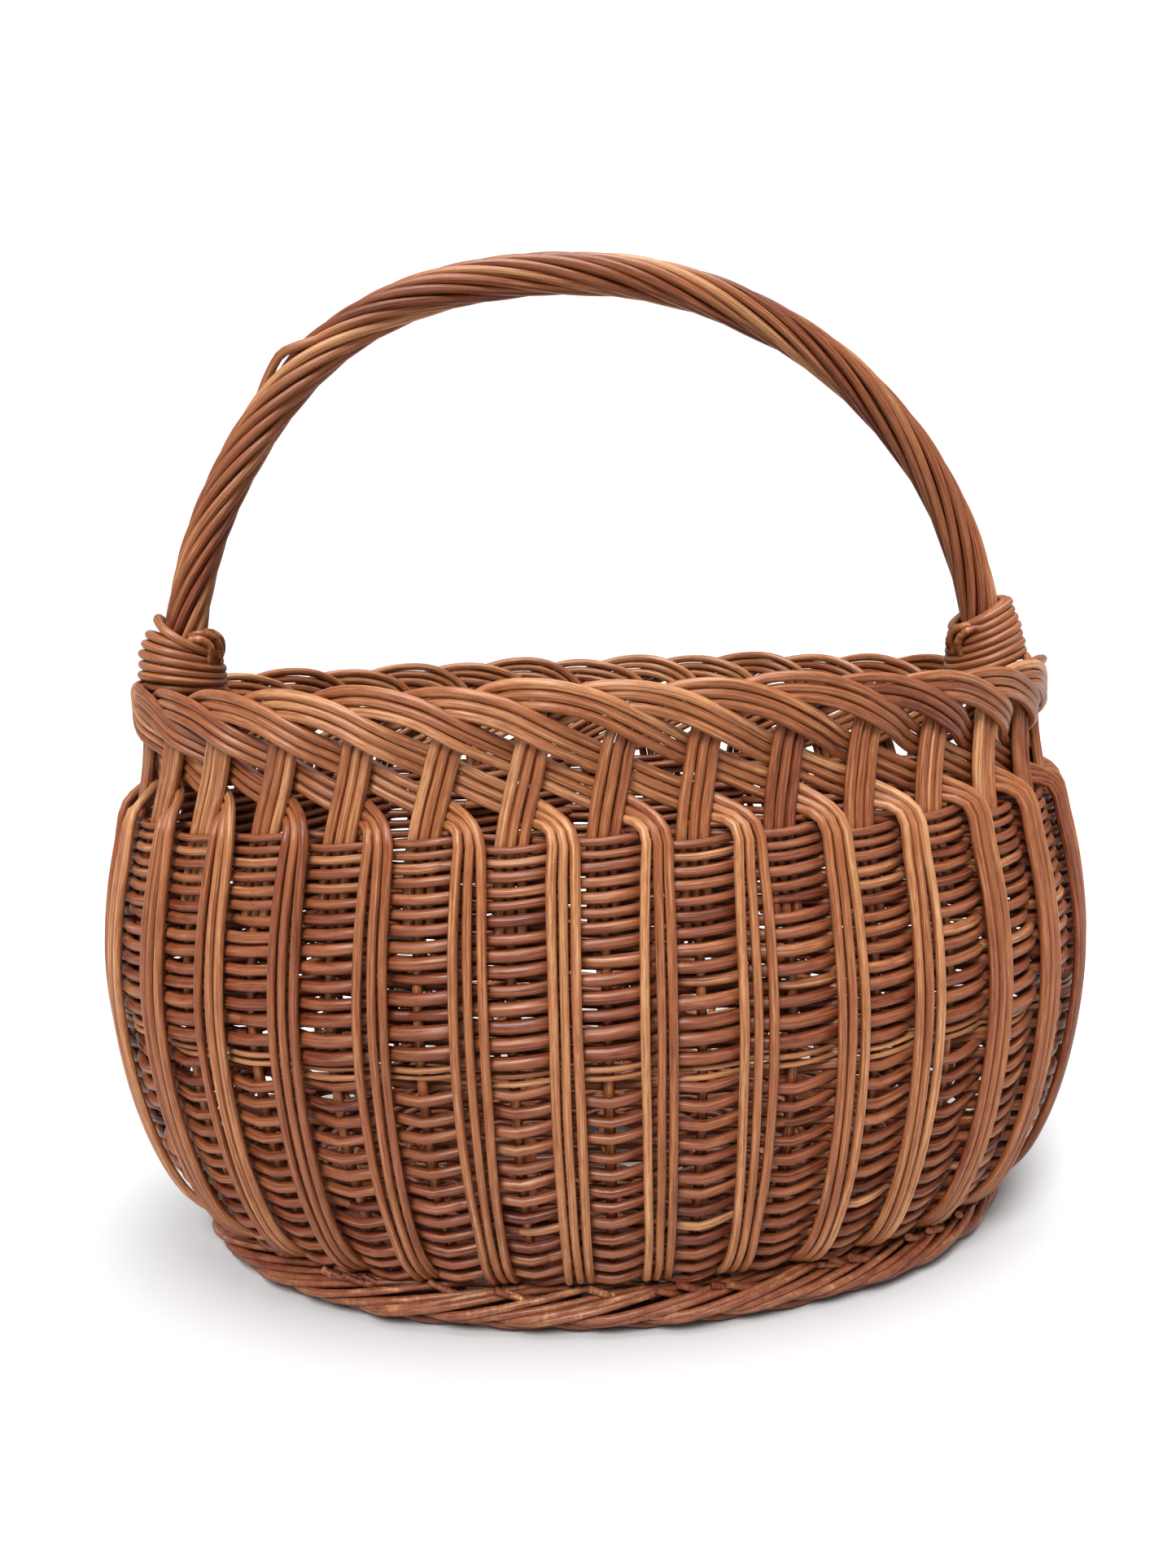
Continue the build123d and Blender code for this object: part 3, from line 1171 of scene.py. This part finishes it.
@dataclass
class Handle:
    """The roped handle: rods wound round a thick bow, and the bindings at its feet.

    Attributes:
        radius: The arch's radius.
        centre_height: Its centre's height.
        rods: How many are wound round the bow.
        ring: From the bow's middle to theirs.
        rod_radius: Their radius.
        bow_radius: The bow's radius.
        turns: How many times the rods go round.
        easing: How much the twist slows along the arch.
        foot_station: The right foot's station.
        foot_spread: How many stations the rods spread there.
        leg: Heights and places outwards of the bow's leg.
        lean: How far the top leans to the right.
        bulge: How far the arch bulges at the upper left.
        bulge_angle: At which angle.
        bulge_breadth: How broadly, in degrees.
        stray: How far a rod strays from the ring.
        binding_radius: The binding rods' radius.
        kink_angle: The angle where one rod stands off.
        kink: How far.
        kink_breadths: How broadly before and after it, in degrees.
        seed: Starts its random numbers.
    """

    radius: float = 180.0
    centre_height: float = 235.0
    rods: int = 10
    ring: float = 6.75
    rod_radius: float = 2.0
    bow_radius: float = 4.4
    turns: float = 3.0
    easing: float = 0.16
    foot_station: float = 8.17
    foot_spread: float = 0.24
    leg: tuple = ((120, -4.4), (160, -4.4), (196, -5.2), (215, -8))
    lean: float = -3.0
    bulge: float = 5.5
    bulge_angle: float = 122.0
    bulge_breadth: float = 20.0
    stray: float = 0.35
    binding_radius: float = 2.15
    kink_angle: float = 130.5
    kink: float = 4.6
    kink_breadths: tuple = (4.5, 7.5)
    seed: int = 1500

    def __post_init__(self) -> None:
        """Start the rod maker and turn the arch to meet the wall at its feet."""
        self.maker = RodMaker(self.seed)
        foot = WALL.point(self.foot_station, 193, 0)
        outside = -self.twist(self.kink_angle) / (2 * math.pi) * self.rods
        self.kinked = round(outside + 0.7) % self.rods
        self.turned = Matrix.Rotation(math.atan2(foot.y, foot.x), 3, "Z")

    def arch(self, angle: float, reach: float, turn: float) -> Vector:
        """Return a place in the rope of the handle.

        Args:
            angle: The angle along the arch: 0 at the right foot, 180 at the left.
            reach: How far from the bow's middle.
            turn: The angle round the bow: 0 outside, 90 in front.

        Returns:
            The place.
        """
        along = math.radians(angle)
        bulge = self.bulge * math.exp(-((angle - self.bulge_angle) / self.bulge_breadth) ** 2)
        shift = self.lean * math.sin(along) ** 2
        out = Vector((math.cos(along), 0, math.sin(along)))
        middle = out * (self.radius + bulge) + Vector((shift, 0, self.centre_height))
        place = middle + out * (reach * math.cos(turn)) + Vector((0, -reach * math.sin(turn), 0))
        return self.turned @ place

    def twist(self, angle: float) -> float:
        """Return how far the rods have turned, counted from the left foot, at an angle of the arch."""
        run = 1 - angle / 180
        eased = run - self.easing * run * run * run
        return 2 * math.pi * self.turns * eased / (1 - self.easing)

    def foot_tail(self, side: Side, number: int, share: float) -> list[Vector]:
        """Return the points of a rod below the arch, inside the border and into the weave.

        Args:
            side: Which foot it is.
            number: The rod's number.
            share: Where it lies among its neighbours, from -1 to 1.

        Returns:
            The points, downwards.
        """
        station = self.foot_station + (WALL.stations / 2 if side is Side.LEFT else 0)
        spread = self.foot_spread * share
        depth = -8.5 - (number % 3) * 1.9
        ways = ((0.55, 222, depth), (1, 207, depth + 1.6), (1.15, 193, -4.6), (1.15, 176, -3.4))
        return [WALL.point(station + spread * wide, z, out) for wide, z, out in ways]

    def rod(self, number: int) -> Rod:
        """Lay one rod of the rope, from inside one wall to inside the other.

        Args:
            number: The rod's number, from 0.

        Returns:
            The rod.
        """
        chance = self.maker.chance
        phase = 2 * math.pi * number / self.rods
        points = []
        wobble = [chance.uniform(-1, 1) for _ in range(14)]
        for angle in range(181):
            low, past = divmod(angle / 15, 1)
            stray = mix(wobble[int(low)], wobble[int(low) + 1], smooth(past))
            reach = self.ring + self.stray * stray
            if number == self.kinked:
                past = angle - self.kink_angle
                reach += self.kink * max(0.0, 1 - abs(past) / self.kink_breadths[past > 0])
            points.append(self.arch(angle, reach, phase + self.twist(angle) + 0.07 * stray))
        ends = []
        for side, angle, way in ((Side.RIGHT, 0, -1), (Side.LEFT, 180, 1)):
            turn = phase + self.twist(angle)
            ends.append(self.foot_tail(side, number, way * math.sin(turn)))
        right = flow(ends[0][::-1] + points[:2], ROD_STEP)
        left = flow(points[-2:] + ends[1], ROD_STEP)
        points = right[:-1] + points[1:-1] + left[1:]
        radius = self.rod_radius * chance.uniform(0.92, 1.06)
        return self.maker.lay(points, radius * 0.95, radius * 1.05, 0.47, 0.08)

    def build_rods(self, finish: Material) -> None:
        """Build each wound rod as a piece."""
        for number in range(self.rods):
            piece = self.maker.piece(f"handle_rope_{number + 1:02d}", [self.rod(number)], 3)
            settle(piece, finish, "handle_rods", f"handle_rod_{number + 1:02d}")

    def build_bow(self, finish: Material) -> None:
        """Build the bow, with its two legs down inside the wall."""
        arch = [self.arch(angle, 0, 0) for angle in range(6, 175, 12)]
        half = WALL.stations / 2
        right = [WALL.point(self.foot_station, z, out) for z, out in self.leg]
        left = [WALL.point(self.foot_station + half, z, out) for z, out in self.leg[::-1]]
        points = flow(right + arch + left, ROD_STEP)
        rod = self.maker.rod(points, [self.bow_radius] * len(points), 0.4)
        settle(self.maker.piece("handle_bow_rod", [rod], 3), finish, "stakes", "handle_bow")

    def binding(self, side: Side) -> list[Rod]:
        """Lay the rod that binds one foot, with its last slanting turn and its tucked loops.

        Args:
            side: Which foot it is.

        Returns:
            The rods.
        """
        wrap = WRAPS[side]
        stops = wrap.turns * 26
        last = 2 * math.pi * wrap.turns
        coil = []
        for i in range(stops - 3):
            share = i / stops
            turn = last * share
            reach = float(np.interp(share, *wrap.reaches)) + 0.25 * math.sin(turn * 0.37)
            height = mix(*wrap.heights, share) + mix(*wrap.slopes, share) * reach * math.cos(turn)
            coil.append(self.round_foot(side, height, turn, reach))
        crossing = [self.round_foot(side, z, last + turn, reach) for z, turn, reach in wrap.crossing]
        points = coil[:-1] + flow(coil[-1:] + crossing, 2.2)
        thick = self.binding_radius
        rods = [self.maker.lay(points, thick, thick * 0.9, 0.5, 0.04)]
        for loop in wrap.loops:
            laid = flow([self.round_foot(side, *place) for place in loop], 2.0)
            rods.append(self.maker.lay(laid, thick * 0.86, thick * 0.86, 0.5, 0.04))
        return rods

    def round_foot(self, side: Side, height: float, turn: float, reach: float) -> Vector:
        """Return a place round one foot of the arch.

        Args:
            side: Which foot it is.
            height: The height above the arch's centre.
            turn: The angle round the foot: 0 outside, 90 in front.
            reach: How far from the bow's middle.

        Returns:
            The place.
        """
        angle = math.degrees(height / self.radius)
        return self.arch(180 - angle if side is Side.LEFT else angle, reach, turn)

    def build_bindings(self, finish: Material) -> None:
        """Build the two bindings."""
        for side in Side:
            piece = self.maker.piece(f"binding_{side.value}_rod", self.binding(side), 3)
            settle(piece, finish, "binding_rods", f"handle_binding_{side.value}")


@dataclass
class Studio:
    """The pale floor, soft lights and camera.

    Attributes:
        eye: The camera's place, in metres.
        yaw: How far right it looks, in degrees.
        pitch: How far down.
        roll: How far it is rolled.
        focal: Its focal length, on a sensor as wide as the picture.
        sensor: That sensor's width.
        ambient: How much light comes from all round.
        lights: Names, places, breadths in degrees and watts per square metre.
        floor_size: The floor's length and width, in metres.
        floor_colour: Its colour.
    """

    eye: tuple = (-0.0309, -0.5271, 0.270)
    yaw: float = 2.91
    pitch: float = 8.06
    roll: float = -1.60
    focal: float = 36.02
    sensor: float = 36.0
    ambient: float = 0.42
    lights: tuple = (
        ("key_light", (-0.5, -1.5, 1.75), 22, 2.75),
        ("top_light", (0.25, -0.1, 2.2), 40, 2.2),
    )
    floor_size: float = 12.0
    floor_colour: tuple = (0.6, 0.6, 0.605, 1)

    def camera(self) -> None:
        """Place the camera and make it the scene's."""
        bpy.ops.object.select_all(action="DESELECT")
        bpy.ops.object.camera_add(location=self.eye)
        camera = bpy.context.active_object
        yaw, pitch, roll = (math.radians(v) for v in (self.yaw, self.pitch, self.roll))
        right = Vector((math.cos(yaw), -math.sin(yaw), 0))
        level = math.cos(pitch)
        ahead = Vector((math.sin(yaw) * level, math.cos(yaw) * level, -math.sin(pitch)))
        up = right.cross(ahead)
        turned_right = right * math.cos(roll) + up * math.sin(roll)
        turned_up = up * math.cos(roll) - right * math.sin(roll)
        camera.matrix_world = Matrix.Translation(Vector(self.eye)) @ Matrix(
            (turned_right, turned_up, -ahead)
        ).transposed().to_4x4()
        camera.data.sensor_fit = "HORIZONTAL"
        camera.data.sensor_width = self.sensor
        camera.data.lens = self.focal
        camera.data.clip_start = 0.01
        camera.data.clip_end = 50
        bpy.context.scene.camera = camera

    def light(self, name: str, place: tuple, angle: float, power: float) -> None:
        """Add a broad, soft light that is equally strong everywhere.

        Args:
            name: Its name.
            place: The place that its light comes from, far along this direction.
            angle: How broad it looks, in degrees.
            power: Its power in watts per square metre.
        """
        bpy.ops.object.select_all(action="DESELECT")
        bpy.ops.object.light_add(type="SUN", location=place)
        lamp = bpy.context.active_object
        lamp.name = name
        lamp.data.angle = math.radians(angle)
        lamp.data.energy = power
        lamp.rotation_euler = (-Vector(place)).to_track_quat("-Z", "Y").to_euler()

    def floor(self) -> None:
        """Lay the floor."""
        bpy.ops.object.select_all(action="DESELECT")
        bpy.ops.mesh.primitive_plane_add(size=self.floor_size, location=(0, 0, 0))
        plane = bpy.context.active_object
        plane.name = "studio_floor"
        n = Nodes("studio_floor")
        n.dress(n.shader, Base_Color=self.floor_colour, Roughness=0.85, Specular_IOR_Level=0.2)
        plane.data.materials.append(n.material)

    def build(self) -> None:
        """Build the whole studio."""
        scene = bpy.context.scene
        world = scene.world or bpy.data.worlds.new("studio")
        scene.world = world
        world.use_nodes = True
        tree = world.node_tree
        background = tree.nodes["Background"]
        background.inputs[0].default_value = (1.0, 1.0, 1.0, 1)
        path = tree.nodes.new("ShaderNodeLightPath")
        strength = tree.nodes.new("ShaderNodeMapRange")
        strength.inputs["To Min"].default_value = self.ambient
        strength.inputs["To Max"].default_value = 1.0
        tree.links.new(path.outputs["Is Camera Ray"], strength.inputs["Value"])
        tree.links.new(strength.outputs["Result"], background.inputs[1])
        scene.view_settings.view_transform = "Standard"
        scene.view_settings.look = "Medium High Contrast"
        self.floor()
        for light in self.lights:
            self.light(*light)
        self.camera()


def main() -> None:
    """Build the basket's pieces in order, then the studio."""
    logging.basicConfig(level=logging.INFO, format="%(name)s: %(message)s")
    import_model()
    border = Willow("border_willow").make()
    weaver = Willow("weaver_willow", shift=-0.06, middle=linear(148, 93, 61)).make()
    thin = Willow("thin_weaver_willow", shift=0.05, middle=linear(160, 106, 69)).make()
    foot = Willow("foot_willow", shift=-0.04, middle=linear(138, 86, 58), roughness=0.5).make()
    stick = Willow("stick_willow", shift=-0.08, middle=linear(138, 88, 61)).make()
    rope = Willow("handle_willow").make()

    lower = SideWeave(
        "side_weave_lower", "weavers", bottom=17.4, top=106.0, rows=25,
        radius_bottom=1.95, radius_top=2.1, swing=3.8, dip=2.2, flat=0.0, tone=0.45, seed=101, climb=0.35,
    )
    change = SideWeave(
        "side_change_band", "thin_weavers", bottom=106.3, top=112.8, rows=4,
        radius_bottom=1.1, radius_top=1.15, swing=3.2, dip=0.3, flat=0.0, tone=0.58, seed=102, climb=0.5,
    )
    upper = SideWeave(
        "side_weave_upper", "weavers", bottom=113.0, top=194.0, rows=28,
        radius_bottom=2.7, radius_top=1.65, swing=3.6, dip=0.6, flat=0.8, tone=0.48, seed=103, climb=0.65,
    )
    for weave, finish in ((lower, weaver), (change, thin), (upper, weaver)):
        weave.dress(finish)

    for number in range(1, WALL.stations + 1):
        Strand(number).dress(border)

    Foot().dress(foot)
    Base().build(stick, weaver)

    handle = Handle()
    handle.build_bow(stick)
    handle.build_rods(rope)
    handle.build_bindings(rope)

    Studio().build()


if __name__ == "__main__":
    main()
